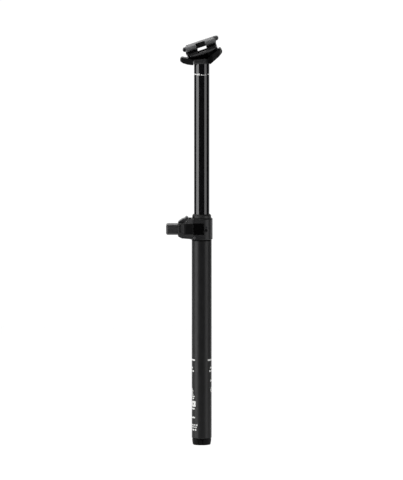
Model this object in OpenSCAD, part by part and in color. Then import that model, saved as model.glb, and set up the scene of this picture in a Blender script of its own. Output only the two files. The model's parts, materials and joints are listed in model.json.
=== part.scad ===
// Telescoping suspension seatpost: a wireless, air-sprung post with a battery pod on its collar.
// Origin: post axis, 2 mm below the underside of the collar. +Z up, -X towards the front of the bicycle.

/* [Lower post] */
// Outside diameter of the lower tube
post_d = 30.9; // [30.9:0.1:31.6]
// Wall thickness of the lower tube
post_wall = 1.8; // [1.7:0.05:1.9]
// Length of the lower tube below the collar
post_len = 308; // [300:1:312]
// Diameter of the collar
collar_d = 33.8; // [33.6:0.1:34.4]
// Height of the top of the collar above the origin
collar_h = 35.2; // [34.8:0.1:35.6]

/* [Upper post] */
// Outside diameter of the sliding tube
slider_d = 24; // [24:0.05:24.1]
// Wall thickness of the sliding tube
slider_wall = 1.4; // [1.35:0.05:1.45]
// Height of the top of the sliding tube when fully extended
slider_top = 275.4; // [272:0.2:278]
// Diameter of the hollow air shaft
shaft_d = 10; // [9.9:0.05:10.1]

/* [Saddle clamp] */
// Diameter of a saddle rail
rail_d = 7; // [7:0.1:7.4]
// Distance between the two saddle rails
rail_gap = 44; // [43.6:0.1:44.4]
// Height of the rails above the collar's underside
rail_z = 301; // [300.8:0.1:301.2]
// Tilt of the rails, rear end up
clamp_tilt = 18.5; // [18.3:0.1:18.7]
// Height of the tilting centre above the rails
pivot_h = 42; // [41.8:0.1:42.2]
// Distance of the front clamp bolt from the middle of the rails
front_bolt = 23.8; // [23.6:0.1:24]
// Distance of the rear clamp bolt from the middle of the rails
rear_bolt = 20.4; // [20.2:0.1:20.6]

/* [Battery pod] */
// Length of the battery
battery_l = 30.2; // [29:0.2:31]
// Width of the battery
battery_w = 30.4; // [30:0.1:30.6]
// Height of the battery
battery_h = 15.9; // [15.8:0.05:16]
// Width of the pod across its flat sides
pod_w = 33; // [32.8:0.1:33.2]

/* [Hidden] */
$fn = 96;

post_r = post_d / 2;
tube_r = post_r - post_wall;
thread_r = post_r - 0.45;
tube_top = 24;
foot_z = -post_len;
shoulder_z = 0.8;
collar_z = 2;
collar_r = collar_d / 2;
slider_r = slider_d / 2;
slider_bore = slider_r - slider_wall;
slider_foot = -62.5;
shaft_r = shaft_d / 2;
run = 0.05;

// Guide keys and their grooves
key_angles = [90, 210, 330];
key_w = 2.5;
key_r = [11.25, 14.3];
key_z = [-44, -34];
groove_z = [-302, -6];

// Ribbon cable channel on the pod side of the tube
ribbon_w = 4.4;
ribbon_r = 13.85;
ribbon_t = 0.35;
ribbon_exit_z = 8.8;

// Foot actuator
cap_h = 10;
block_z = [-301.5, -290.3];
gear_z = [-304.5, -302];
gear_module = 0.5;
gear_teeth = 21;
pinion_teeth = 9;
gear_centres = gear_module * (gear_teeth + pinion_teeth) / 2;
rod_r = 1.25;
screw_angles = [60, 180, 300];
screw_ring = 9.6;

// Piston and seal head levels
piston_z = [-42, -26];
pocket_z = -32;
seal_head_z = [-59.5, -46.3];

// Saddle clamp
rail_r = rail_d / 2;
rail_y = rail_gap / 2;
jaw_end = 24;
noses = [[-26.2, 4.1], [25.7, 5.8]];
nose_r = 3.3;
jaw_gap = 7;
bolt_at = [-front_bolt, rear_bolt];
nut_v = 4.2;
nut_r = 3.3;
nut_y = 5;
bolt_r = 2.5;
bolt_top = 7.9;
pad_r = [58.2, 60.2];
seat_r = 53;
washer_r = 5;
washer_drop = 2.6;
pivot = [-pivot_h * sin(clamp_tilt), rail_z + pivot_h * cos(clamp_tilt)];
wing_y = 11;
front_wing = [[-12.9, 282.2], [-30.4, 285.2], [-32.3, 284.4], [-33.5, 281.6], [-33, 278.7], [-29, 276.1],
  [-22.8, 274.1], [-16.5, 273.2], [-12.6, 273.1], [-12.6, slider_top], [-10, slider_top]];
rear_wing = [[8.6, 284], [27.4, 299.7], [29, 299.7], [31.8, 295], [31.7, 292.5], [26.9, 286.5],
  [13.5, 274.6], [12.6, 274.6], [12.6, slider_top], [8.6, slider_top]];

// Pod levels
battery_z = 17.8;
battery_front = -24.9;
battery_rear = battery_front - battery_l;
bay_z = [battery_z - battery_h / 2 - 0.2, battery_z + battery_h / 2 + 0.2];
pod_end = -36.7;
board_z = 5.4;
side_screw = [-11.4, 5.6];
screw_x = [-29.5, -19.6];
roof_z = 28;
latch_hinge = [-21.8, 29.6];
pin_r = 1;
latch_half = 9.5;
button_angle = -66.3;
button_z = 17.2;
led_z = 21.9;

// ---------- helpers ----------

module ring(r_out, r_in, z0, z1) {
  translate([0, 0, z0])
    difference() {
      cylinder(r = r_out, h = z1 - z0);
      translate([0, 0, -1])
        cylinder(r = r_in, h = z1 - z0 + 2);
    }
}

module torus(r_mid, r_cord, z) {
  translate([0, 0, z])
    rotate_extrude()
      translate([r_mid, 0])
        circle(r = r_cord, $fn = 24);
}

// Extrudes an outline drawn in X and Z between two Y planes
module along_y(y0, y1) {
  translate([0, y1, 0])
    rotate([90, 0, 0])
      linear_extrude(y1 - y0)
        children();
}

// Extrudes an outline drawn in Y and Z between two X planes
module along_x(x0, x1) {
  translate([x0, 0, 0])
    rotate([90, 0, 90])
      linear_extrude(x1 - x0)
        children();
}

module round_rect(x0, x1, y0, y1, r) {
  translate([x0 + r, y0])
    square([x1 - x0 - 2 * r, y1 - y0]);
  translate([x0, y0 + r])
    square([x1 - x0, y1 - y0 - 2 * r]);
  for (x = [x0 + r, x1 - r], y = [y0 + r, y1 - r])
    translate([x, y])
      circle(r = r, $fn = 48);
}

module box(x0, x1, y0, y1, z0, z1) {
  translate([x0, y0, z0])
    cube([x1 - x0, y1 - y0, z1 - z0]);
}

// A coil along Z, with flattened ends left open
function coil_points(r, turns, h, per_turn) =
  [for (i = [0 : turns * per_turn]) let (a = 360 * i / per_turn)
    [r * cos(a), r * sin(a), h * i / (turns * per_turn)]];

module coil(r, wire_r, turns, h, sides = 6, per_turn = 20) {
  path = coil_points(r, turns, h, per_turn);
  n = len(path);
  points = [for (i = [0 : n - 1]) let (a = 360 * i / per_turn)
    for (k = [0 : sides - 1]) let (b = 360 * k / sides)
      path[i] + wire_r * [cos(b) * cos(a), cos(b) * sin(a), sin(b)]];
  walls = [for (i = [0 : n - 2], k = [0 : sides - 1]) let (m = (k + 1) % sides)
    [i * sides + k, (i + 1) * sides + k, (i + 1) * sides + m, i * sides + m]];
  first = [for (k = [0 : sides - 1]) k];
  last = [for (k = [sides - 1 : -1 : 0]) (n - 1) * sides + k];
  polyhedron(points = points, faces = concat([first], walls, [last]), convexity = 8);
}

module gear_outline(teeth) {
  pitch_r = gear_module * teeth / 2;
  circle(r = pitch_r - 0.55);
  for (i = [0 : teeth - 1])
    rotate(360 * i / teeth)
      polygon([[pitch_r - 0.8, -0.42], [pitch_r, -0.3], [pitch_r + 0.4, -0.16],
        [pitch_r + 0.4, 0.16], [pitch_r, 0.3], [pitch_r - 0.8, 0.42]]);
}

// ---------- lower post ----------

module lower_tube() {
  color("#1c1c1e")
    difference() {
      rotate_extrude()
        polygon([[tube_r, foot_z], [post_r - 1, foot_z], [post_r, foot_z + 1], [post_r, shoulder_z],
          [thread_r, shoulder_z], [thread_r, tube_top], [tube_r, tube_top]]);
      for (a = key_angles)
        rotate(a)
          box(tube_r - 1, key_r[1] + 0.1, -key_w / 2 - run, key_w / 2 + run,
            groove_z[0], groove_z[1]);
      box(-14.6, -tube_r + 1, -2.6, 2.6, foot_z - 1, ribbon_exit_z + 1);
      box(-16, -tube_r + 1, -2.6, 2.6, ribbon_exit_z - 1.6, ribbon_exit_z + 1);
    }
}

module collar_blank() {
  intersection() {
    rotate_extrude()
      polygon([[0, collar_z], [collar_r - 0.6, collar_z], [collar_r, collar_z + 0.6],
        [collar_r, collar_h - 1.2], [collar_r - 1.2, collar_h], [0, collar_h]]);
    box(-20, 20, -pod_w / 2, pod_w / 2, 0, collar_h + 1);
  }
  difference() {
    along_y(-pod_w / 2, pod_w / 2)
      polygon([[-13.3, 2.6], [-12.7, collar_z], [0, collar_z], [0, collar_h], [-12.1, collar_h],
        [-13.3, collar_h - 1.2]]);
    for (s = [-1, 1])
      translate([-13.3, s * pod_w / 2, collar_h])
        rotate([0, 90, 0])
          cylinder(r = 1.2, h = 20, $fn = 4);
  }
}

module rear_trim_body(inset) {
  intersection() {
    ring(collar_r + 1 - inset, collar_r - 1.1 + inset, 0, collar_h);
    along_x(13.75 + inset, 20)
      round_rect(-9.9 + inset, 9.9 - inset, 3.5 + inset, 33.5 - inset, 2.5);
  }
}

module button_place(z) {
  rotate(button_angle)
    translate([0, 0, z])
      rotate([0, 90, 0])
        children();
}

module collar() {
  color("#26262a")
    difference() {
      collar_blank();
      translate([0, 0, -1])
        cylinder(r = thread_r, h = tube_top + 1);
      cylinder(r = 12.6, h = collar_h + 1);
      translate([0, 0, tube_top + 0.5])
        cylinder(r = 13.6, h = 4.2);
      translate([0, 0, 29])
        cylinder(r = 13.9, h = collar_h);
      rear_trim_body(-0.1);
      for (s = [-1, 1])
        along_y(s * pod_w / 2 - 1, s * pod_w / 2 + 1)
          round_rect(-14, 3.7, 10, 28.2, 0.6);
      for (s = [-1, 1])
        translate([side_screw[0], s * pod_w / 2, side_screw[1]])
          rotate([90, 0, 0]) {
            cylinder(r = 1.7, h = 3.4, center = true);
            cylinder(r = 0.9, h = 8.4, center = true);
          }
      button_place(button_z)
        translate([0, 0, 15.5])
          cylinder(r = 2.3, h = 4);
      button_place(led_z)
        translate([0, 0, 15.8])
          cylinder(r = 1.1, h = 4);
      box(-20, -14, -2.6, 2.6, ribbon_exit_z - 1.6, ribbon_exit_z + 1);
    }
}

module upper_bushing() {
  color("#b08a3c")
    difference() {
      ring(tube_r, slider_r + 0.04, 2, 22);
      rotate(45)
        box(10, 16, -0.5, 0.5, 0, 30);
    }
}

module foam_ring() {
  color("#3c3c3c")
    ring(13.6, slider_r + 0.3, tube_top + 0.5, 28.7);
}

module wiper_seal() {
  color("#111111")
    rotate_extrude()
      polygon([[12.3, 29.2], [13.9, 29.2], [13.9, collar_h], [14.6, collar_h], [14.6, 38.4],
        [14.35, 39.5], [13.7, 40.5], [12.8, 41.1], [12.3, 41.1], [12.04, 40.7], [12.04, 39.8], [12.7, 38.4],
        [12.7, 33], [12.04, 31.4], [12.04, 30.6]]);
}

// ---------- battery pod ----------

module side_screws() {
  color("#c8c8cc")
    for (s = [-1, 1])
      translate([side_screw[0], s * (pod_w / 2 - 0.1), side_screw[1]])
        rotate([90 * s, 0, 0])
          difference() {
            union() {
              cylinder(r = 1.65, h = 1.6);
              cylinder(r = 0.85, h = 4);
            }
            translate([0, 0, -0.6])
              cylinder(r = 0.8, h = 1.5, $fn = 6);
          }
}

module side_panels() {
  color("#060607")
    for (s = [-1, 1])
      along_y(s * (pod_w / 2 - 0.5) - 0.5, s * (pod_w / 2 - 0.5) + 0.5)
        round_rect(-13.25, 3.6, 10.1, 28.1, 0.6);
}

module rear_trim() {
  color("#4a4a4e")
    intersection() {
      rear_trim_body(0);
      cylinder(r = collar_r, h = collar_h);
    }
}

module led_lens() {
  color("#14181c")
    button_place(led_z)
      translate([0, 0, 15.8])
        cylinder(r = 1.05, h = 1.15);
}

module pod_outline() {
  polygon([[-13.3, 34.6], [-21, 34.6], [-25.5, 31.2], [-27.4, roof_z], [-36, roof_z],
    [pod_end, roof_z - 0.7], [pod_end, 8], [-13.3, 8]]);
}

module pod_housing() {
  color("#2a2a2d")
    difference() {
      along_y(-pod_w / 2, pod_w / 2)
        pod_outline();
      cylinder(r = collar_r, h = 80, center = true);
      for (s = [-1, 1])
        along_y(s * (pod_w / 2 + 0.5) - 0.9, s * (pod_w / 2 + 0.5) + 0.9)
          round_rect(-28.3, -13.4, 11.1, 27.4, 1.2);
      box(-40, -24.6, -battery_w / 2 - 0.2, battery_w / 2 + 0.2, bay_z[0], bay_z[1]);
      box(-24.7, -17.6, -13, 13, 7, 26.4);
      along_y(-20, 20)
        round_rect(-35, -31.2, 14, 25.2, 1.8);
      box(-60, -16.2, -latch_half - 0.3, latch_half + 0.3, roof_z, 40);
      along_y(-latch_half - 0.3, latch_half + 0.3)
        translate(latch_hinge)
          circle(r = 2.6);
      box(pod_end - 1, -33, -5, 5, 25, 30);
      translate([latch_hinge[0], 0, latch_hinge[1]])
        rotate([90, 0, 0])
          cylinder(r = pin_r, h = 40, center = true);
      for (x = screw_x, s = [-1, 1])
        translate([x, s * 14.4, 7])
          cylinder(r = 0.7, h = 2.2);
      for (s = [-1, 1])
        along_x(-40, -10)
          polygon([[s * 17, roof_z - 0.6], [s * (pod_w / 2), roof_z - 0.6], [s * 10.6, 36], [s * 17, 36]]);
      box(-20, -14, -2.6, 2.6, 7, ribbon_exit_z + 1);
    }
}

module pod_base() {
  color("#37373b")
    difference() {
      along_y(-pod_w / 2, pod_w / 2)
        polygon([[-13.3, 8], [pod_end, 8], [-34.9, 6.7], [-30.6, 4.6], [-18.6, 3.7],
          [-15.2, 2.8], [-13.3, 2.8]]);
      cylinder(r = collar_r, h = 80, center = true);
      box(-24.7, -17.6, -12, 12, board_z, 9);
      for (x = screw_x, s = [-1, 1])
        translate([x, s * 14.4, -1]) {
          cylinder(r = 0.8, h = 10);
          cylinder(r = 1.5, h = 7.3);
        }
    }
}

module pod_screws() {
  color("#b9b9bd")
    for (x = screw_x, s = [-1, 1])
      translate([x, s * 14.4, 5.1])
        difference() {
          union() {
            cylinder(r = 1.4, h = 1.2);
            cylinder(r = 0.68, h = 3.9);
          }
          translate([0, 0, -0.7])
            cylinder(r = 0.7, h = 1.4, $fn = 6);
        }
}

module circuit_board() {
  color("#14532d")
    box(-22.4, -21.2, -12, 12, board_z, 26);
}

module circuit_chips() {
  color("#202020")
    for (c = [[-8, 15, 5, 5], [0, 20, 7, 4], [7, 14, 4, 6], [-2, 12, 3, 3], [0, 7.7, 6, 1.5]])
      box(-21.2, -20.1, c[0] - c[2] / 2, c[0] + c[2] / 2, c[1] - c[3] / 2, c[1] + c[3] / 2);
}

module contact_block() {
  color("#101010")
    difference() {
      box(-24.5, -22.4, -13, 13, 9.2, 26.4);
      for (y = [-6, -2, 2, 6])
        translate([-30, y, battery_z])
          rotate([0, 90, 0])
            cylinder(r = 0.7, h = 20);
    }
}

module contact_pins() {
  color("#d4af37")
    for (y = [-6, -2, 2, 6])
      translate([-24.75, y, battery_z])
        rotate([0, 90, 0])
          cylinder(r = 0.68, h = 2.35);
}

module ribbon_cable() {
  color("#c98b2b") {
    box(-ribbon_r - ribbon_t, -ribbon_r, -ribbon_w / 2, ribbon_w / 2,
      -303, ribbon_exit_z);
    box(-20.9, -ribbon_r - ribbon_t, -ribbon_w / 2, ribbon_w / 2,
      ribbon_exit_z - ribbon_t, ribbon_exit_z);
  }
}

module latch_outline() {
  difference() {
    polygon([[-36.6, 28.4], [-35.9, 29.7], [-30.4, 33.7], [-26.6, 35], [-25.6, 35.3],
      [-25, 36.9], [-24.3, 37.4], [-22.2, 37.4], [-21.4, 36.8], [-20.3, 34.4], [-20, 28.4]]);
    translate(latch_hinge)
      circle(r = pin_r + run);
  }
}

module latch() {
  color("#3a3a3e")
    difference() {
      union() {
        along_y(-latch_half, latch_half)
          latch_outline();
        along_y(-latch_half, latch_half)
          difference() {
            translate(latch_hinge)
              circle(r = 2.4);
            translate(latch_hinge)
              circle(r = pin_r + run);
          }
        box(-36.4, -33.6, -4.5, 4.5, 26.2, 28.6);
      }
      along_y(-2.8, 2.8)
        translate(latch_hinge)
          circle(r = 2.9);
      for (y = [-7 : 2 : 7])
        translate([-23.4, y, 38])
          rotate([45, 0, 0])
            cube([4, 0.9, 0.9], center = true);
    }
}

module latch_pin() {
  color("#c0c0c4")
    translate([latch_hinge[0], 0, latch_hinge[1]])
      rotate([90, 0, 0])
        cylinder(r = pin_r, h = pod_w - 3.4, center = true);
}

module latch_spring() {
  color("#a0a0a4")
    translate([latch_hinge[0], -2.2, latch_hinge[1]])
      rotate([-90, 0, 0])
        coil(r = 1.6, wire_r = 0.3, turns = 5, h = 4.4);
}

module battery_blank() {
  intersection() {
    along_y(-battery_w / 2, battery_w / 2)
      round_rect(battery_rear, battery_front, battery_z - battery_h / 2,
        battery_z + battery_h / 2, 3.2);
    along_x(battery_rear - 1, battery_front + 1)
      round_rect(-battery_w / 2, battery_w / 2, battery_z - battery_h / 2,
        battery_z + battery_h / 2, 3.4);
    linear_extrude(60)
      round_rect(battery_rear, battery_front, -battery_w / 2, battery_w / 2, 3.2);
  }
}

module battery_case() {
  color("#323236")
    difference() {
      battery_blank();
      box(battery_rear - 1, battery_rear + 2.8, -30, 30, 0, 60);
      along_x(battery_rear + 2, battery_front - 1.6)
        round_rect(-14.1, 14.1, battery_z - 6.9, battery_z + 6.9, 2.4);
      for (y = [-6, -2, 2, 6])
        box(battery_front - 0.4, battery_front + 1, y - 1.2, y + 1.2, 16, 20);
    }
}

module battery_end_cap() {
  color("#2c2c30")
    intersection() {
      battery_blank();
      box(battery_rear - 1, battery_rear + 2.8, -30, 30, 0, 60);
    }
}

module battery_cells() {
  color("#4b6ea8")
    for (s = [-1, 1])
      translate([battery_rear + 2.9, s * 7.1, battery_z])
        rotate([0, 90, 0])
          cylinder(r = 6.8, h = battery_l - 4.8);
}

module battery_contacts() {
  color("#d4af37")
    for (y = [-6, -2, 2, 6])
      box(battery_front - 0.4, battery_front, y - 1.2, y + 1.2, 16, 20);
}

module pairing_button() {
  color("#5a5a5e")
    button_place(button_z)
      translate([0, 0, 15.95])
        cylinder(r = 2.2, h = 1.1);
}

// ---------- foot and valve drive ----------

module foot_cap() {
  color("#202022")
    difference() {
      union() {
        rotate_extrude()
          polygon([[0, foot_z - cap_h], [13, foot_z - cap_h], [13.6, foot_z - cap_h + 0.5],
            [14, foot_z - cap_h + 1.4], [15.2, foot_z], [0, foot_z]]);
        translate([0, 0, foot_z])
          cylinder(r = tube_r, h = block_z[0] - foot_z);
      }
      difference() {
        translate([0, 0, foot_z - cap_h + 1.6])
          cylinder(r = 11.5, h = 20);
        translate([0, 0, foot_z - cap_h])
          cylinder(r = 4.2, h = gear_z[0] - 0.3 - foot_z + cap_h);
      }
      translate([0, 0, foot_z - cap_h + 1.6])
        cylinder(r = 2.65, h = 20);
      for (a = [0 : 90 : 270])
        rotate(a) {
          box(-6.5, 3.2, -20, -13.6, foot_z - 2, foot_z);
          for (x = [-5.4, 1.4])
            box(x - 0.5, x + 0.5, -20, -12.4, foot_z - cap_h - 1, foot_z - 1.9);
        }
      for (a = screw_angles)
        rotate(a)
          translate([0, screw_ring, foot_z - cap_h - 1]) {
            cylinder(r = 1.9, h = 2.2);
            cylinder(r = 0.85, h = 5);
          }
      box(-14.6, -11, -2.6, 2.6, -306, -300);
    }
}

module foot_block() {
  color("#8d9096")
    difference() {
      ring(tube_r, rod_r + 0.1, block_z[0], block_z[1]);
      translate([0, 0, block_z[1] - 7.7])
        cylinder(r = shaft_r, h = 20);
      ring(tube_r + 1, 12, -297.1, -294.9);
      box(-14.6, -11.4, -2.6, 2.6, -310, -280);
      for (a = screw_angles)
        rotate(a)
          translate([0, screw_ring, block_z[0] - 1])
            cylinder(r = 0.8, h = 5.5);
    }
}

module foot_seal() {
  color("#151515")
    difference() {
      torus(12.8, 0.8, -296);
      box(-20, -11, -2.8, 2.8, -300, -290);
    }
}

module foot_screws() {
  color("#b0b0b4")
    for (a = screw_angles)
      rotate(a)
        translate([0, screw_ring, foot_z - cap_h])
          difference() {
            union() {
              cylinder(r = 1.8, h = 1.2);
              cylinder(r = 0.8, h = block_z[0] + 4 - foot_z + cap_h);
            }
            translate([0, 0, -1])
              cylinder(r = 0.9, h = 1.7, $fn = 6);
          }
}

module valve_motor() {
  color("#b4b7bd")
    translate([gear_centres, 0, foot_z - cap_h + 1.6])
      difference() {
        cylinder(r = 3, h = 11.3);
        translate([0, 0, 8])
          cylinder(r = 0.75, h = 10);
      }
}

module motor_pinion() {
  color("#d8b45a")
    translate([gear_centres, 0, 0]) {
      translate([0, 0, gear_z[0]])
        linear_extrude(gear_z[1] - gear_z[0])
          gear_outline(pinion_teeth);
      translate([0, 0, -308])
        cylinder(r = 0.7, h = 5);
    }
}

module screw_gear() {
  color("#c79a3f")
    difference() {
      union() {
        translate([0, 0, gear_z[0]])
          linear_extrude(gear_z[1] - gear_z[0])
            gear_outline(gear_teeth);
        translate([0, 0, -310])
          cylinder(r = 2.6, h = 6);
      }
      translate([0, 0, -320])
        cylinder(r = rod_r + run, h = 30);
    }
}

module valve_rod() {
  color("#cfd2d6")
    translate([0, 0, -308])
      cylinder(r = rod_r, h = pocket_z + 308 + run);
}

module poppet() {
  color("#c9a24b")
    rotate_extrude()
      polygon([[0, pocket_z + run], [3.6, pocket_z + run], [3.6, pocket_z + 0.8],
        [2.9, pocket_z + 1.5], [1.6, pocket_z + 1.5], [1.4, pocket_z + 2.6],
        [0, pocket_z + 2.6]]);
}

module bottom_bumper() {
  color("#7a2f22")
    ring(12.4, shaft_r + 0.4, block_z[1], block_z[1] + 2.5);
}

// ---------- air spring ----------

module air_shaft() {
  color("#a9adb3")
    ring(shaft_r, shaft_r / 2, block_z[1] - 7.7, piston_z[0] + 4);
}

module rod_guide() {
  color("#c79a3f")
    ring(shaft_r / 2, rod_r + run, piston_z[0] + 1, piston_z[0] + 4);
}

module main_piston() {
  color("#9da1a8")
    difference() {
      translate([0, 0, piston_z[0]])
        cylinder(r = slider_bore - 0.07, h = piston_z[1] - piston_z[0]);
      ring(slider_r, 8.7, -36.6, -34.4);
      ring(slider_r, 9.85, -31.2, -28);
      translate([0, 0, piston_z[0] - 1])
        cylinder(r = shaft_r, h = 5);
      translate([0, 0, piston_z[0]])
        cylinder(r = 2.2, h = 20);
      translate([0, 0, pocket_z])
        cylinder(r = 4.5, h = 20);
      for (a = [45 : 90 : 315])
        rotate(a) {
          translate([6.6, 0, piston_z[0] - 1])
            cylinder(r = 0.7, h = 6, $fn = 24);
          translate([0, 0, -37.2])
            rotate([0, 90, 0])
              cylinder(r = 0.7, h = 7.4, $fn = 24);
        }
    }
}

module piston_seal() {
  color("#151515")
    torus(9.66, 0.9, -35.5);
}

module glide_band() {
  color("#5b4a2a")
    difference() {
      ring(slider_bore - 0.02, 9.85, -31.1, -28.1);
      rotate(30)
        box(9, 12, -0.4, 0.4, -40, -20);
    }
}

module top_bumper() {
  color("#7a2f22")
    ring(10.1, 7.9, piston_z[0] - 4, piston_z[0]);
}

module valve_cage() {
  color("#c79a3f")
    difference() {
      union() {
        translate([0, 0, piston_z[1]])
          cylinder(r = 7.5, h = 1.6);
        ring(4.5, 3.8, piston_z[1] - 1, piston_z[1] + 0.5);
      }
      for (a = [0 : 60 : 300])
        rotate(a)
          translate([3, 0, piston_z[1] - 1])
            cylinder(r = 0.7, h = 4, $fn = 24);
    }
}

module poppet_spring() {
  color("#b8bcc2")
    translate([0, 0, pocket_z + 1.8])
      coil(r = 2.2, wire_r = 0.22, turns = 4, h = piston_z[1] - pocket_z - 2.1);
}

module upper_tube() {
  color("#0c0c0d")
    difference() {
      ring(slider_r, slider_bore, slider_foot, slider_top);
      ring(11.15, slider_bore - 1, -61, seal_head_z[0]);
      for (a = key_angles)
        rotate(a)
          box(key_r[0], 16, -key_w / 2, key_w / 2, key_z[0], key_z[1]);
    }
}

module guide_keys() {
  color("#c9a24b")
    for (a = key_angles)
      rotate(a)
        box(key_r[0], key_r[1], -key_w / 2, key_w / 2, key_z[0], key_z[1]);
}

module lower_bushing() {
  color("#b08a3c")
    difference() {
      ring(tube_r - run, slider_r, -60, -46);
      rotate(45)
        box(10, 16, -0.5, 0.5, -70, -40);
    }
}

module seal_head() {
  color("#8f939a")
    difference() {
      ring(slider_bore, shaft_r + run, seal_head_z[0], seal_head_z[1]);
      ring(6.9, shaft_r - 1, -51.1, -48.9);
      ring(slider_r, 8.8, -56.1, -53.9);
    }
}

module shaft_seal() {
  color("#151515")
    torus(5.98, 0.9, -50);
}

module outer_seal() {
  color("#151515")
    torus(9.68, 0.87, -55);
}

module snap_ring() {
  color("#b8bcc2")
    difference() {
      ring(11.1, 8.8, -60.9, seal_head_z[0]);
      rotate(200)
        box(0, 14, -2.5, 2.5, -70, -50);
      for (a = [186, 214])
        rotate(a)
          translate([10, 0, -65])
            cylinder(r = 0.5, h = 10, $fn = 24);
    }
}

// ---------- saddle head and clamp ----------

function polar(r, a) = [pivot[0] + r * sin(a), pivot[1] - r * cos(a)];

// Sector of a ring about the tilting centre, angles from straight down towards the rear
module arc_sector(r0, r1, a0, a1) {
  steps = 4;
  reach = r1 * 1.2;
  intersection() {
    difference() {
      translate(pivot)
        circle(r = r1, $fn = 180);
      translate(pivot)
        circle(r = r0, $fn = 180);
    }
    polygon(concat([pivot], [for (i = [0 : steps]) polar(reach, a0 + (a1 - a0) * i / steps)]));
  }
}

// Start and end angle of the slot for the front bolt (s < 0) or the rear bolt
function slot_span(s) = s < 0 ? [-26, 0.8] : [24.2, 50];

module saddle_head() {
  color("#161618")
    difference() {
      union() {
        difference() {
          union() {
            intersection() {
              along_y(-wing_y, wing_y) {
                polygon(front_wing);
                polygon(rear_wing);
              }
              linear_extrude(400)
                round_rect(-33.5, 31.8, -wing_y, wing_y, 5);
            }
            along_y(-6, 6) {
              arc_sector(pad_r[0], 62, -17.5, 8);
              arc_sector(pad_r[0], 62, 20, 42.5);
            }
            along_y(-7.6, 7.6)
              arc_sector(seat_r, 64, -4, 40);
            intersection() {
              along_y(-12, 12)
                polygon([[-13.4, slider_top], [10.8, slider_top], [7.4, 283.8], [-11.4, 282.2]]);
              cylinder(r = 17, h = 400);
            }
          }
          for (s = [-1, 1]) {
            along_y(-3.1, 3.1)
              arc_sector(40, 76, slot_span(s)[0], slot_span(s)[1]);
            along_y(-4.7, 4.7)
              arc_sector(pad_r[1], 76, slot_span(s)[0] - 1.8, slot_span(s)[1] + 1.8);
          }
        }
        translate([0, 0, slider_top - 13.4])
          cylinder(r = slider_bore, h = 14);
      }
      translate([0, 0, 250])
        cylinder(r = 3, h = 60);
      translate([0, 0, 277])
        cylinder(r = 5.4, h = 30);
    }
}

module air_valve() {
  color("#c9a24b")
    rotate_extrude()
      polygon([[1.9, 262.4], [3, 262.4], [3, 277], [4.6, 277], [4.6, 279], [3.85, 279.3],
        [3.85, 286.6], [1.9, 286.6]]);
}

module valve_core() {
  color("#d8dade")
    rotate_extrude()
      polygon([[0, 264], [0.9, 264], [0.9, 280], [1.85, 280], [1.85, 284], [0.7, 284.6],
        [0.7, 286], [0, 286]]);
}

module valve_cap() {
  color("#1b1b1b")
    difference() {
      translate([0, 0, 281])
        cylinder(r = 4.9, h = 6.9);
      translate([0, 0, 280])
        cylinder(r = 3.85, h = 6.8);
    }
}

// Places children drawn with u on X and v on Z into the tilted rail frame
module clamp_frame() {
  translate([0, 0, rail_z])
    rotate([0, -clamp_tilt, 0])
      children();
}

module rail_channels() {
  for (s = [-1, 1])
    translate([0, s * rail_y, 0])
      rotate([0, 90, 0])
        cylinder(r = rail_r, h = 80, center = true);
}

module lower_cradle() {
  color("#1d1d20")
    clamp_frame()
      difference() {
        intersection() {
          along_y(-24, 24)
            translate([0, pivot_h])
              circle(r = seat_r - 0.1, $fn = 180);
          union() {
            along_y(-9, 9)
              polygon([[-26.4, -0.4], [-20, -0.4], [-20, -8], [-26, -8]]);
            intersection() {
              along_y(-24, 24)
                polygon([[-23.8, -0.4], [-jaw_gap, -0.4], [-jaw_gap - 1.4, -6.3],
                  [jaw_gap + 0.4, -6.3], [jaw_gap, -0.4], [22.6, -0.4], [20.4, -8], [18, -13],
                  [-18, -13], [-20.6, -8]]);
              along_x(-30, 30)
                polygon([[-20.4, 0], [-20.4, -3.1], [-23.8, -3.1], [-23.8, -6.3], [-22, -8.6],
                  [-13, -12], [13, -12], [22, -8.6], [23.8, -6.3], [23.8, -3.1], [20.4, -3.1],
                  [20.4, 0]]);
            }
          }
        }
        rail_channels();
        box(-40, -front_bolt + 3.2, -3.3, 3.3, -20, 5);
        box(rear_bolt - 3.2, 40, -3.3, 3.3, -20, 5);
      }
}

module upper_clamp() {
  color("#4a4a4d")
    clamp_frame()
      difference() {
        union() {
          intersection() {
            along_y(-24, 24)
              polygon([[-23.6, 0.4], [-jaw_gap - 0.4, 0.4], [-jaw_gap, 7.2], [-jaw_gap - 0.8, 8.2],
                [-22.8, 8.2], [-jaw_end, 7], [-jaw_end, 2]]);
            clamp_section();
          }
          intersection() {
            along_y(-24, 24)
              polygon([[23.6, 0.4], [jaw_gap + 0.4, 0.4], [jaw_gap, 7.2], [jaw_gap + 0.8, 8.2],
                [22.8, 8.2], [jaw_end, 7], [jaw_end, 2]]);
            clamp_section();
          }
          along_y(-7.2, 7.2)
            for (nose = noses) {
              translate([nose[0], nose[1]])
                circle(r = nose_r, $fn = 48);
              translate([nose[0] > 0 ? nose[0] - 5 : nose[0], nose[1] - nose_r])
                square([5, 2 * nose_r]);
            }
        }
        rail_channels();
        clamp_bridge_blank();
        for (u = bolt_at) {
          translate([u, 0, -2])
            cylinder(r = 2.7, h = 20);
          translate([u, 0, nut_v])
            rotate([90, 0, 0])
              cylinder(r = nut_r, h = 2 * nut_y, center = true);
          box(u - nut_r, u + nut_r, -nut_y, nut_y, nut_v, 12);
        }
        for (s = [-1, 1])
          translate([noses[0][0], s * 7.2, noses[0][1]])
            rotate([90, 0, 0])
              cylinder(r = 1.6, h = 3.6, center = true);
        for (u = [-20.4 : 3 : -9], s = [-1, 1])
          box(s * u - 0.5, s * u + 0.5, -30, 30, 7.7, 12);
      }
}

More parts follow.
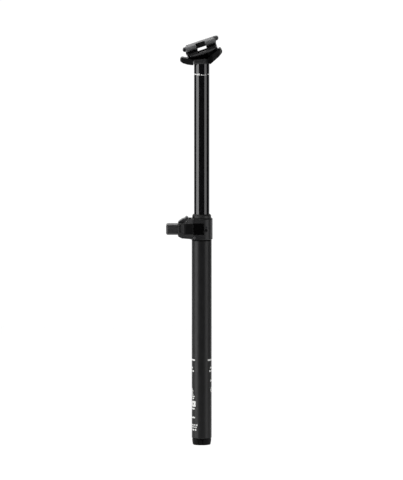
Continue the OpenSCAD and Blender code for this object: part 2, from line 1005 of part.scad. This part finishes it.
// A beam with chamfered lower edges and a flat tenon into each jaw
module clamp_bridge_blank() {
  intersection() {
    along_y(-14.5, 14.5)
      polygon([[-8, 0.4], [8, 0.4], [8, 8], [6.4, 8.8], [-6.4, 8.8], [-8, 8]]);
    along_x(-8, 8)
      polygon([[-11.7, 0.4], [11.7, 0.4], [14.5, 3.2], [14.5, 8.8], [-14.5, 8.8], [-14.5, 3.2]]);
  }
  box(-12.5, 12.5, -9, 9, 2, 6.6);
}

module clamp_bridge() {
  color("#161618")
    clamp_frame()
      clamp_bridge_blank();
}

// Cross-section of the jaws, rounded over the rails
module clamp_section() {
  along_x(-40, 40) {
    square([2 * 20.4, 20], center = true);
    intersection() {
      translate([-23.8, 3.1])
        square([2 * 23.8, 5.1]);
      union() {
        square([2 * 19.4, 30], center = true);
        for (s = [-1, 1])
          translate([s * 18.8, 3.2])
            circle(r = 5, $fn = 48);
      }
    }
  }
}

// Level of the flat face of the half washer on the bolt at u
function washer_v(u) = pivot_h + washer_drop - sqrt(pow(pad_r[1] + washer_r + run, 2) - u * u);

module clamp_bolts() {
  color("#c4c6ca")
    clamp_frame()
      for (u = bolt_at)
        translate([u, 0, washer_v(u)])
          difference() {
            union() {
              translate([0, 0, -0.5])
                cylinder(r = bolt_r, h = bolt_top - washer_v(u) + 0.5);
              translate([0, 0, -2.8])
                cylinder(r = 4, h = 2.8);
            }
            translate([0, 0, -3.8])
              cylinder(r = 2.2, h = 2.8, $fn = 6);
          }
}

module barrel_nuts() {
  color("#c4c6ca")
    clamp_frame()
      for (u = bolt_at)
        translate([u, 0, 0])
          difference() {
            translate([0, 0, nut_v])
              rotate([90, 0, 0])
                cylinder(r = nut_r - run, h = 2 * nut_y - 0.4, center = true);
            cylinder(r = bolt_r, h = 30, center = true);
          }
}

module half_washers() {
  color("#b8bac0")
    clamp_frame()
      for (u = bolt_at)
        translate([u, 0, washer_v(u)])
          difference() {
            intersection() {
              translate([0, 0, -washer_drop])
                rotate([90, 0, 0])
                  cylinder(r = washer_r, h = 8.6, center = true);
              box(-10, 10, -10, 10, 0, 10);
            }
            cylinder(r = bolt_r + 0.1, h = 12, center = true);
          }
}

lower_tube();
collar();
upper_bushing();
foam_ring();
wiper_seal();
pod_housing();
pod_base();
pod_screws();
side_panels();
side_screws();
rear_trim();
led_lens();
circuit_board();
circuit_chips();
contact_block();
contact_pins();
latch_pin();
latch_spring();
ribbon_cable();
foot_cap();
foot_block();
foot_seal();
foot_screws();
valve_motor();
bottom_bumper();
air_shaft();
rod_guide();
main_piston();
piston_seal();
glide_band();
top_bumper();
valve_cage();
poppet_spring();
upper_tube();
saddle_head();
seal_head();
shaft_seal();
outer_seal();
snap_ring();
lower_bushing();
guide_keys();
air_valve();
valve_core();
valve_cap();
lower_cradle();
upper_clamp();
clamp_bridge();
clamp_bolts();
barrel_nuts();
half_washers();
latch();
battery_case();
battery_end_cap();
battery_cells();
battery_contacts();
pairing_button();
motor_pinion();
screw_gear();
valve_rod();
poppet();
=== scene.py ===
import json
import math

import bmesh
import bpy
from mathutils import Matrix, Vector


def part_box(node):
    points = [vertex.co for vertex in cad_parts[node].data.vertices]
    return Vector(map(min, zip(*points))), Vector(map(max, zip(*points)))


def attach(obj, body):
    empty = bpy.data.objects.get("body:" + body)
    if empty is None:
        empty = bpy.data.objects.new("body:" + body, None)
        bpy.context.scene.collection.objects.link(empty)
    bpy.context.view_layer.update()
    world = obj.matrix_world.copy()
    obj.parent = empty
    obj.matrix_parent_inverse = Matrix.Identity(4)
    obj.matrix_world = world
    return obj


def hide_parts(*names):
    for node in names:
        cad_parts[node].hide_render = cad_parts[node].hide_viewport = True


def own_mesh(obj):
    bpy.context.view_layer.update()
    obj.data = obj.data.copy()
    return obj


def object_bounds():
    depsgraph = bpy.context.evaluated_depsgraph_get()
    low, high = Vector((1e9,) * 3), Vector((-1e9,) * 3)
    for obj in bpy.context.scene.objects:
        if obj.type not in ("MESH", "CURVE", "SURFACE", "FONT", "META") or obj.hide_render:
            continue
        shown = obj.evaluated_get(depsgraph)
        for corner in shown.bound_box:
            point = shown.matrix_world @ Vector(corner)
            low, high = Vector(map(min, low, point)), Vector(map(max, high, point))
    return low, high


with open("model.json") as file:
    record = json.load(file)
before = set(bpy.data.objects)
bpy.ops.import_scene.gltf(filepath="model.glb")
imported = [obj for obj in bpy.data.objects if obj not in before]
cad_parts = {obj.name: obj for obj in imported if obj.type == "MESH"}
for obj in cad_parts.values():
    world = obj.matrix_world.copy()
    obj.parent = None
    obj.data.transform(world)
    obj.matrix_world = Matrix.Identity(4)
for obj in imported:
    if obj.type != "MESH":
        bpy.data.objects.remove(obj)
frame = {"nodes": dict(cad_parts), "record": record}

MM = 0.001
cad_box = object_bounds()
record = frame["record"]
scene = bpy.context.scene


# ---------- camera, lights and floor ----------

VIEW_ELEVATION = math.radians(6)
CAMERA_DISTANCE = 20.0
FRAME_HEIGHT = 0.743
SENSOR = 36.0
AIM = Vector((-0.3, 0, 0.62)) * MM
# Light of the room by direction: from this far towards +Y, up to this far, dimmest, brightest
ROOM_RAMP = (0.45, 0.97, 0.025, 1.1)
BACKDROP = 1.05
FLOOR_RADIUS = 3.2
FLOOR_SIDES = 128
FLOOR_SHIFT = 1.6
FLOOR_DROP = 0.35
FLOOR_SHADE = 0.86
FLOOR_ROUGHNESS = 0.9
FLOOR_GLOW = 0.85
# name, azimuth (degrees), distance, height, (width, tall), radiance, height of its aim
SOFTBOXES = [
    ("softbox_left", -66, 2.0, -0.05, (1.6, 1.1), 4.6, -0.05),
    ("softbox_right", 59, 2.0, -0.05, (1.3, 1.1), 2.6, -0.05),
    ("softbox_top", -130, 0.9, 1.9, (1.3, 1.3), 3.0, 0.1),
    ("softbox_front", -25, 1.4, 2.0, (1.2, 0.9), 3.0, 0.1),
]


def make_camera():
    data = bpy.data.cameras.new("camera")
    data.sensor_width = SENSOR
    data.lens = SENSOR * CAMERA_DISTANCE / FRAME_HEIGHT
    camera = bpy.data.objects.new("camera", data)
    scene.collection.objects.link(camera)
    back = Vector((0, -math.cos(VIEW_ELEVATION), math.sin(VIEW_ELEVATION)))
    camera.location = AIM + back * CAMERA_DISTANCE
    camera.rotation_euler = (-back).to_track_quat("-Z", "Y").to_euler()
    scene.camera = camera


def make_softbox(name, azimuth, distance, height, size, radiance, aim_height):
    """A softbox that faces the post; azimuth 0 is the camera's side, and 90 is the rear of the bicycle."""
    width, tall = size
    a = math.radians(azimuth)
    place = Vector((math.sin(a) * distance, -math.cos(a) * distance, height))
    data = bpy.data.lights.new(name, "AREA")
    data.shape = "RECTANGLE"
    data.size, data.size_y = width, tall
    data.energy = radiance * math.pi * width * tall
    light = bpy.data.objects.new(name, data)
    scene.collection.objects.link(light)
    light.location = place
    aim = Vector((0, 0, aim_height)) - place
    light.rotation_euler = aim.to_track_quat("-Z", "Y").to_euler()
    light.visible_camera = False


def make_world():
    """White for the camera; for the object, a room that is dim in front of it and brighter behind it."""
    world = bpy.data.worlds.new("studio")
    world.use_nodes = True
    scene.world = world
    tree = world.node_tree
    tree.nodes.clear()
    lit = tree.nodes.new("ShaderNodeBackground")
    seen = tree.nodes.new("ShaderNodeBackground")
    seen.inputs["Strength"].default_value = BACKDROP
    direction = tree.nodes.new("ShaderNodeTexCoord").outputs["Generated"]
    split = tree.nodes.new("ShaderNodeSeparateXYZ")
    ramp = tree.nodes.new("ShaderNodeMapRange")
    for key, value in zip(("From Min", "From Max", "To Min", "To Max"), ROOM_RAMP):
        ramp.inputs[key].default_value = value
    path = tree.nodes.new("ShaderNodeLightPath")
    mix = tree.nodes.new("ShaderNodeMixShader")
    out = tree.nodes.new("ShaderNodeOutputWorld")
    for node in (lit, seen):
        node.inputs["Color"].default_value = (1, 1, 1, 1)
    link = tree.links.new
    link(direction, split.inputs[0])
    link(split.outputs["Y"], ramp.inputs["Value"])
    link(ramp.outputs["Result"], lit.inputs["Strength"])
    link(path.outputs["Is Camera Ray"], mix.inputs["Fac"])
    link(lit.outputs[0], mix.inputs[1])
    link(seen.outputs[0], mix.inputs[2])
    link(mix.outputs[0], out.inputs["Surface"])


def make_floor():
    """A pale round floor below the hanging post."""
    bm = bmesh.new()
    bmesh.ops.create_circle(bm, cap_ends=True, segments=FLOOR_SIDES, radius=FLOOR_RADIUS)
    mesh = bpy.data.meshes.new("floor")
    bm.to_mesh(mesh)
    bm.free()
    floor = bpy.data.objects.new("floor", mesh)
    floor.location = (0, FLOOR_SHIFT, cad_box[0].z - FLOOR_DROP)
    scene.collection.objects.link(floor)
    material = bpy.data.materials.new("floor_paper")
    material.use_nodes = True
    shader = material.node_tree.nodes["Principled BSDF"]
    shader.inputs["Base Color"].default_value = (FLOOR_SHADE, FLOOR_SHADE, FLOOR_SHADE, 1)
    shader.inputs["Roughness"].default_value = FLOOR_ROUGHNESS
    shader.inputs["Emission Color"].default_value = (1, 1, 1, 1)
    shader.inputs["Emission Strength"].default_value = FLOOR_GLOW
    mesh.materials.append(material)


# ---------- materials ----------

class Graph:
    """Short calls for building a node tree."""

    def __init__(self, material):
        self.tree = material.node_tree
        self.tree.nodes.clear()

    def node(self, kind, inputs=None, **settings):
        made = self.tree.nodes.new("ShaderNode" + kind)
        for key, value in settings.items():
            setattr(made, key, value)
        for key, value in (inputs or {}).items():
            if isinstance(value, bpy.types.NodeSocket):
                self.tree.links.new(value, made.inputs[key])
            else:
                made.inputs[key].default_value = value
        return made

    def noise(self, coords, scale, detail=3.0, rough=0.55):
        made = self.node("TexNoise", {"Vector": coords, "Scale": scale, "Detail": detail, "Roughness": rough})
        return made.outputs["Fac"]

    def ranged(self, value, low, high, new_low, new_high):
        made = self.node("MapRange", {"Value": value, "From Min": low, "From Max": high,
                                      "To Min": new_low, "To Max": new_high})
        return made.outputs["Result"]

    def math(self, operation, a, b=0.0, clamp=False):
        made = self.node("Math", {0: a, 1: b}, operation=operation, use_clamp=clamp)
        return made.outputs[0]

    def within(self, value, low, high, soft):
        """1 between two levels in mm, falling off over soft mm at both ends."""
        rise = self.ranged(value, (low - soft) * MM, low * MM, 0.0, 1.0)
        fall = self.ranged(value, high * MM, (high + soft) * MM, 1.0, 0.0)
        return self.math("MULTIPLY", rise, fall)

    def mix(self, factor, a, b):
        made = self.node("Mix", data_type="RGBA")
        for key, value in ((0, factor), (6, a), (7, b)):
            if isinstance(value, bpy.types.NodeSocket):
                self.tree.links.new(value, made.inputs[key])
            else:
                made.inputs[key].default_value = value
        return made.outputs[2]


def rgba(colour, gain=1.0):
    return (*[min(1.0, c * gain) for c in colour], 1.0)


# Cycles per metre of the mottling and of the rubbed spots on edges
MOTTLE_SCALE = 60
RUB_SCALE = 450
# How soon a turned edge counts as exposed to wear, and a worn spot's colour from the colour around it
EDGE_GAIN = 5.0
WORN_GAIN = 3
WORN_LIFT = 0.03
# A noise's usual low and high values, its values between bare and rubbed, and the openness in a corner and in
# the clear, between which the painted corner shade fades from full to none
NOISE_SPAN = (0.3, 0.7)
RUB_SPAN = (0.42, 0.62)
OPEN_SPAN = (0.35, 0.85)
# Widest soft border of a painted shade patch in height, in mm
PAINTED_SHADE_BORDER = 0.4


def finish(name, colour, rough, metallic=0.0, mottle=0.12, grain=(2500, 0.01), stretch=(1, 1, 1),
           spread=0.06, edge=0.3, wear=0.5, specular=0.5, recess=0.15, reach=9, painted_shade_patches=()):
    """A procedural surface: mottled colour, fine grain in bump and roughness, soft and slightly worn edges.

    grain is (cycles per metre, depth in mm), and edge is the rounding radius in mm. recess is the share of
    light kept by painted shade in a tight corner, judged over reach mm. The last argument lists patches of
    painted shade as (x from, x to, z from, z to, soft border, share of light kept), in mm."""
    material = bpy.data.materials.new(name)
    material.use_nodes = True
    g = Graph(material)
    place = g.node("TexCoord").outputs["Object"]
    stretched = g.node("Mapping", {"Vector": place, "Scale": stretch}).outputs["Vector"]
    grain_scale, grain_depth = grain
    fine = g.noise(stretched, grain_scale)
    coarse = g.noise(place, MOTTLE_SCALE, 5.0, 0.6)
    bevel = g.node("Bevel", {"Radius": edge * MM}, samples=6).outputs["Normal"]
    true_normal = g.node("NewGeometry").outputs["Normal"]
    aligned = g.node("VectorMath", {0: bevel, 1: true_normal}, operation="DOT_PRODUCT").outputs["Value"]
    edges = g.math("MULTIPLY", g.math("SUBTRACT", 1.0, aligned), EDGE_GAIN, clamp=True)
    rubbed = g.ranged(g.noise(place, RUB_SCALE, 4.0), *RUB_SPAN, 0.0, 1.0)
    worn_mask = g.math("MULTIPLY", g.math("MULTIPLY", edges, rubbed, clamp=True), wear)
    # Painted shade: where the occlusion test finds a tight corner, the colour darkens towards black and the
    # specular level drops, down to the recess share
    open_sky = g.node("AmbientOcclusion", {"Distance": reach * MM}, samples=8).outputs["AO"]
    painted_shade_keep = g.ranged(open_sky, *OPEN_SPAN, recess, 1.0)
    axes = g.node("SeparateXYZ", {0: place}).outputs
    # Painted shade patches: darker boxes in x and z through the whole depth, which lower the colour and
    # specular level to the share kept
    for x0, x1, z0, z1, soft, kept in painted_shade_patches:
        across = g.within(axes["X"], x0, x1, soft)
        patch = g.math("MULTIPLY", across, g.within(axes["Z"], z0, z1, min(soft, PAINTED_SHADE_BORDER)))
        painted_shade_keep = g.math("MULTIPLY", painted_shade_keep, g.ranged(patch, 0.0, 1.0, 1.0, kept))
    body = g.mix(g.ranged(coarse, *NOISE_SPAN, 0.0, 1.0), rgba(colour, 1 - mottle), rgba(colour, 1 + mottle))
    # The painted shade darkens the colour towards black here
    body = g.mix(painted_shade_keep, (0, 0, 0, 1), body)
    tone = g.mix(worn_mask, body, rgba([c * WORN_GAIN + WORN_LIFT for c in colour]))
    roughness = g.math("ADD", g.ranged(fine, *NOISE_SPAN, rough - spread, rough + spread),
                       g.ranged(coarse, *NOISE_SPAN, -spread / 2, spread / 2), clamp=True)
    bump = g.node("Bump", {"Height": fine, "Normal": bevel, "Distance": grain_depth * MM, "Strength": 1.0})
    shader = g.node("BsdfPrincipled", {"Base Color": tone, "Roughness": roughness, "Normal": bump.outputs[0],
                                       "Metallic": metallic,
                                       "Specular IOR Level": g.math("MULTIPLY", painted_shade_keep, specular)})
    g.node("OutputMaterial", {"Surface": shader.outputs[0]})
    return material


FINISHES = {
    # the post's tubes
    # this finish's patch is painted shade: a darker band from z 0.2 to 2.4 mm, x -20 to 20
    "tube_matte_black": dict(colour=(0.009, 0.009, 0.0095), rough=0.36, grain=(5200, 0.006), mottle=0.15,
                             specular=0.2, painted_shade_patches=[(-20, 20, 0.2, 2.4, 0.3, 0.12)]),
    "stanchion_gloss_black": dict(colour=(0.004, 0.004, 0.0045), rough=0.09, spread=0.025, mottle=0.3,
                                  grain=(900, 0.0006), stretch=(1, 1, 14)),
    "foot_black": dict(colour=(0.003, 0.003, 0.0031), rough=0.42, grain=(5200, 0.006), specular=0.05),
    # the head and the saddle clamp
    # recess 0.0 lets the painted corner shade go fully black on these forged parts
    "forged_black": dict(colour=(0.013, 0.013, 0.0135), rough=0.32, grain=(3400, 0.01), edge=0.6,
                         specular=0.35, recess=0.0),
    # painted shade on the saddle head: darker patches on both wings, and a near-black one on the block under
    # the cradle
    "head_black_painted_shade": dict(colour=(0.025, 0.025, 0.0255), rough=0.3, grain=(3400, 0.01), edge=0.6,
                       specular=0.7, recess=0.0,
                       painted_shade_patches=[(-40, -13.2, 270, 290, 0.4, 0.37), (11, 40, 270, 302, 3, 0.45),
                             (-40, -30.5, 270, 290, 2, 0.3), (8, 16, 270, 288, 2, 0.35),
                             (-12, 9, 283.2, 300, 2, 0.08)]),
    # the cradle's painted corner shade reaches 20 mm, so it darkens the recess between its jaws
    "cradle_black": dict(colour=(0.014, 0.014, 0.0145), rough=0.34, grain=(3400, 0.01), edge=0.6,
                         specular=0.22, recess=0.0, reach=20),
    "clamp_grey": dict(colour=(0.088, 0.089, 0.091), rough=0.4, grain=(4200, 0.012), edge=0.45,
                       specular=0.4),
    # the collar, the pod and the battery
    "collar_black": dict(colour=(0.015, 0.015, 0.0155), rough=0.36, grain=(4200, 0.008), edge=0.35,
                         specular=0.2),
    "gloss_panel": dict(colour=(0.001, 0.001, 0.001), rough=0.05, spread=0.02, grain=(500, 0.0008),
                        edge=0.2),
    # painted shade on the pod housing: a darker patch from x -24 to -10 and z 11 to 27.5
    "housing_plastic": dict(colour=(0.017, 0.017, 0.0175), rough=0.4, grain=(3800, 0.02), edge=0.35,
                            specular=0.55, recess=0.5, painted_shade_patches=[(-24, -10, 11, 27.5, 6, 0.22)]),
    "trim_grey": dict(colour=(0.05, 0.05, 0.052), rough=0.42, grain=(3800, 0.015), edge=0.3, recess=0.6),
    "battery_plastic": dict(colour=(0.021, 0.021, 0.022), rough=0.4, grain=(3800, 0.02), edge=0.35,
                            specular=0.4, recess=0.4),
    "button_black": dict(colour=(0.003, 0.003, 0.0031), rough=0.5, edge=0.2, wear=0.0, specular=0.05),
    "lens": dict(colour=(0.004, 0.005, 0.007), rough=0.25, edge=0.1, wear=0.0, specular=0.1),
    "board_green": dict(colour=(0.015, 0.14, 0.06), rough=0.4, grain=(1500, 0.02), edge=0.1),
    "chip_black": dict(colour=(0.025, 0.025, 0.025), rough=0.5, grain=(4000, 0.01), edge=0.1),
    "cell_wrap": dict(colour=(0.08, 0.18, 0.42), rough=0.3, grain=(900, 0.02), edge=0.3, wear=0.1),
    "ribbon_amber": dict(colour=(0.55, 0.28, 0.06), rough=0.28, grain=(900, 0.01), edge=0.05, wear=0.0),
    # seals, fittings and the parts inside
    "rubber_black": dict(colour=(0.012, 0.012, 0.012), rough=0.5, grain=(3000, 0.01), edge=0.25, wear=0.1,
                         specular=0.4),
    "bumper_red": dict(colour=(0.32, 0.05, 0.03), rough=0.5, grain=(2500, 0.02), edge=0.3, wear=0.1),
    "raw_aluminium": dict(colour=(0.62, 0.63, 0.65), rough=0.3, metallic=1.0, grain=(1800, 0.004),
                          stretch=(1, 1, 9)),
    "steel": dict(colour=(0.6, 0.6, 0.62), rough=0.28, metallic=1.0, grain=(3000, 0.004), edge=0.15),
    "brass": dict(colour=(0.72, 0.55, 0.25), rough=0.3, metallic=1.0, grain=(1800, 0.004), edge=0.15,
                  stretch=(1, 1, 9)),
    "bushing_bronze": dict(colour=(0.42, 0.28, 0.1), rough=0.5, grain=(2600, 0.015), edge=0.2),
    # ink
    "white_print": dict(colour=(0.62, 0.62, 0.61), rough=0.55, mottle=0.08, grain=(4200, 0.004), edge=0.05,
                        wear=0.0),
}

# Nodes with a finish of their own within their slot
OWN_FINISH = {"saddle_head": "head_black_painted_shade", "lower_cradle": "cradle_black", "foot_cap": "foot_black",
              "pairing_button": "button_black"}


def dress_cad_nodes(finishes):
    for part in record["subparts"]:
        node = frame["nodes"][part["node"]]
        node.data.materials.clear()
        node.data.materials.append(finishes[OWN_FINISH.get(part["node"], part["material_slot"])])


# ---------- rounded edges on the forged, machined and moulded pieces ----------

# node: (voxel in mm, smoothing passes)
ROUNDED = {
    "saddle_head": (0.35, 12),
    "lower_cradle": (0.3, 5),
    "upper_clamp": (0.3, 4),
    "clamp_bridge": (0.25, 5),
    "collar": (0.3, 3),
    "pod_housing": (0.27, 3),
    "pod_base": (0.22, 5),
    "latch": (0.18, 5),
    "battery_case": (0.25, 4),
    "battery_end_cap": (0.25, 4),
    "pairing_button": (0.1, 10),
}


def round_edges(node_name, voxel, passes):
    """Remeshes a CAD node finely and relaxes it, so that its edges turn over as they do on a real part."""
    node = frame["nodes"][node_name]
    remesh = node.modifiers.new("remesh", "REMESH")
    remesh.mode = "VOXEL"
    remesh.voxel_size = voxel * MM
    remesh.use_smooth_shade = True
    relax = node.modifiers.new("relax", "SMOOTH")
    relax.factor = 0.5
    relax.iterations = passes


# ---------- printed marks ----------

# Rows of the print on the lower tube: z from, z to (mm), half-width (degrees), number of dashes
FRONT_ROWS = [
    (-186.4, -184.0, 48, 1), (-198.8, -196.2, 31, 3), (-203.8, -201.3, 41, 4), (-232.0, -230.2, 30, 2),
    (-234.6, -232.8, 32, 1), (-237.2, -235.4, 31, 2), (-239.6, -238.0, 33, 1), (-243.2, -240.9, 47, 5),
    (-246.3, -244.4, 42, 4), (-262.4, -260.1, 45, 1), (-276.0, -273.9, 48, 1), (-287.4, -285.4, 68, 8),
    (-290.9, -288.9, 62, 9), (-295.1, -292.7, 60, 7)]
REAR_ROWS = [
    (-186.4, -184.0, 52, 1), (-198.8, -196.2, 36, 3), (-203.8, -201.3, 44, 4), (-219.2, -216.4, 35, 2),
    (-230.4, -228.4, 29, 2), (-233.2, -231.4, 30, 1), (-236.0, -234.2, 28, 2)]
# Marks as z from, z to (mm), angle from, angle to (degrees from the -Y side)
POST_MARKS = [
    (257.2, 260.4, -33, -15), (257.9, 259.5, -84, -33), (257.4, 259.3, -7, 1), (257.4, 258.8, 4, 9),
    (257.4, 258.8, 12, 17), (257.4, 259.3, 21, 27), (257.4, 258.8, 29, 33), (257.6, 259.7, 52, 92)]
LABEL = (-258.0, -249.0, -76, -38)
LABEL_DOT = 1.3
LABEL_SIDES = 32
LABEL_RINGS = 4
FRONT_SIDE = -90
REAR_SIDE = 90
DASH_GAP = 0.3
PATCH_STEP = 3
# Half the thickness of the ink, in mm
INK = 0.02


def dashes(row, centre):
    """Splits a row into equal dashes either side of its centre line."""
    z0, z1, half, count = row
    step = 2 * half / count
    gap = 0 if count == 1 else step * DASH_GAP
    start = centre - half
    return [(z0, z1, start + i * step + gap / 2, start + (i + 1) * step - gap / 2) for i in range(count)]


def add_patch(bm, radius, patch):
    """A thin closed shell on a cylinder, between two levels and two angles."""
    z0, z1, a0, a1 = patch
    inner, outer = radius - INK, radius + INK
    steps = max(1, math.ceil((a1 - a0) / PATCH_STEP))
    rings = []
    for i in range(steps + 1):
        a = math.radians(a0 + (a1 - a0) * i / steps)
        rings.append([bm.verts.new(Vector((math.sin(a) * r, -math.cos(a) * r, z)) * MM)
                      for r, z in ((inner, z0), (outer, z0), (outer, z1), (inner, z1))])
    for here, there in zip(rings, rings[1:]):
        for k in range(4):
            bm.faces.new((here[k], there[k], there[(k + 1) % 4], here[(k + 1) % 4]))
    bm.faces.new(rings[0])
    bm.faces.new(rings[-1][::-1])


def add_label(bm, radius):
    """A square label with a round hole in its middle."""
    z0, z1, a0, a1 = LABEL
    arc = radius * math.radians(1)
    middle, centre = (z0 + z1) / 2, (a0 + a1) / 2
    half_w, half_h = (a1 - a0) / 2 * arc, (z1 - z0) / 2
    rings = []
    for i in range(LABEL_SIDES):
        t = 2 * math.pi * (i + 0.5) / LABEL_SIDES
        c, d = math.cos(t), math.sin(t)
        reach = min(half_w / max(abs(c), 1e-6), half_h / max(abs(d), 1e-6))
        loop = []
        for k in range(LABEL_RINGS + 1):
            r = LABEL_DOT + (reach - LABEL_DOT) * k / LABEL_RINGS
            a, z = math.radians(centre + r * c / arc), middle + r * d
            loop.append([bm.verts.new(Vector((math.sin(a) * h, -math.cos(a) * h, z)) * MM)
                         for h in (radius - INK, radius + INK)])
        rings.append(loop)
    for i in range(LABEL_SIDES):
        here, there = rings[i], rings[(i + 1) % LABEL_SIDES]
        for k in range(LABEL_RINGS):
            for side in (0, 1):
                bm.faces.new((here[k][side], here[k + 1][side], there[k + 1][side], there[k][side]))
        for k in (0, LABEL_RINGS):
            bm.faces.new((here[k][0], here[k][1], there[k][1], there[k][0]))


def make_print(name, body, radius, patches, material, label=False):
    bm = bmesh.new()
    for patch in patches:
        add_patch(bm, radius, patch)
    if label:
        add_label(bm, radius)
    bmesh.ops.recalc_face_normals(bm, faces=bm.faces)
    mesh = bpy.data.meshes.new(name)
    bm.to_mesh(mesh)
    bm.free()
    mesh.materials.append(material)
    piece = bpy.data.objects.new(name, mesh)
    scene.collection.objects.link(piece)
    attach(piece, body)


def outer_radius(node_name):
    """Radius of an upright tube, in mm."""
    low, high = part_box(node_name)
    return (high[0] - low[0]) / 2 / MM


def make_marks(ink):
    rows = [patch for row in FRONT_ROWS for patch in dashes(row, FRONT_SIDE)]
    rows += [patch for row in REAR_ROWS for patch in dashes(row, REAR_SIDE)]
    make_print("tube_print", "lower_post", outer_radius("lower_tube"), rows, ink, label=True)
    make_print("post_print", "upper_post", outer_radius("upper_tube"), POST_MARKS, ink)


# ---------- the valve's spring: a coil of one fixed length, though the real one shortens as the poppet lifts ---

SPRING_TURNS = 4
SPRING_STEPS = 32
SPRING_SIDES = 10
WIRE_RADIUS = 0.22 * MM


def make_poppet_spring(material):
    """A coil in the place of the plain one, which is hidden."""
    low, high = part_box("poppet_spring")
    radius = (high[0] - low[0]) / 2 - WIRE_RADIUS
    foot, rise = low[2] + WIRE_RADIUS, high[2] - low[2] - 2 * WIRE_RADIUS
    sides, steps = SPRING_SIDES, SPRING_TURNS * SPRING_STEPS
    bm = bmesh.new()
    rings = []
    for i in range(steps + 1):
        a = 2 * math.pi * SPRING_TURNS * i / steps
        ring = []
        for k in range(sides):
            b = 2 * math.pi * k / sides
            r = radius + WIRE_RADIUS * math.cos(b)
            z = foot + rise * i / steps + WIRE_RADIUS * math.sin(b)
            ring.append(bm.verts.new((r * math.cos(a), r * math.sin(a), z)))
        rings.append(ring)
    for here, there in zip(rings, rings[1:]):
        for k in range(sides):
            bm.faces.new((here[k], there[k], there[(k + 1) % sides], here[(k + 1) % sides]))
    bm.faces.new(rings[0])
    bm.faces.new(rings[-1][::-1])
    bmesh.ops.recalc_face_normals(bm, faces=bm.faces)
    for face in bm.faces:
        face.smooth = len(face.verts) == 4
    mesh = bpy.data.meshes.new("valve_coil")
    bm.to_mesh(mesh)
    bm.free()
    mesh.materials.append(material)
    coil = bpy.data.objects.new("valve_coil", mesh)
    scene.collection.objects.link(coil)
    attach(coil, "lower_post")
    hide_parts("poppet_spring")
    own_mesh(coil)


# ---------- assembly ----------

scene.view_settings.view_transform = "Standard"
make_world()
make_camera()
make_floor()
for box_settings in SOFTBOXES:
    make_softbox(*box_settings)
finishes = {name: finish(name, **look) for name, look in FINISHES.items()}
dress_cad_nodes(finishes)
for node_name, (voxel, passes) in ROUNDED.items():
    round_edges(node_name, voxel, passes)
make_marks(finishes["white_print"])
make_poppet_spring(finishes["steel"])
